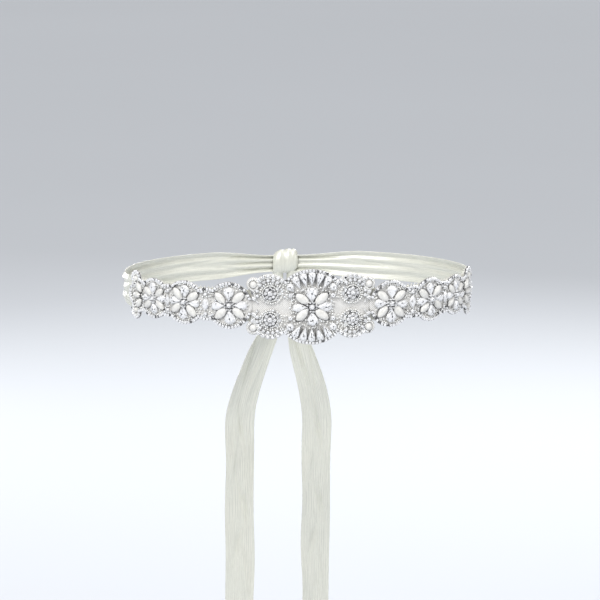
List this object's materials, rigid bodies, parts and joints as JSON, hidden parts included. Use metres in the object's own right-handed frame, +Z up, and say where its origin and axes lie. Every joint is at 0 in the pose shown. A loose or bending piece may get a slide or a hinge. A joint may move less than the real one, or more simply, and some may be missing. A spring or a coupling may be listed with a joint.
{
  "type": "bridal sash",
  "caption": "Worn bridal sash: a satin ribbon round the waist, knotted at the back with two hanging tails, with a scalloped pearl and crystal applique over the front.",
  "frame": {"origin": "middle of the waist hollow, half way up the ribbon where it is worn", "axes": "+Z up along the wearer, -Y towards the front of the sash, +X to the right of someone facing it"},
  "size_m": [0.249, 0.215, 0.4155],
  "materials": {
    "satin": "ivory satin, soft lengthwise sheen",
    "beadwork": "clear faceted stones and pearls sewn closely on net",
    "net": "fine ivory net",
    "pearl": "ivory pearl lustre",
    "crystal": "clear faceted, foiled back",
    "setting": "polished silver-coloured settings and chain"
  },
  "bodies": {
    "root": {"ribbon_band": "satin", "knot": "satin", "tail_left": "satin", "tail_right": "satin", "applique_centre": "beadwork", "applique_left": "beadwork", "applique_right": "beadwork"}
  },
  "joints": []
}
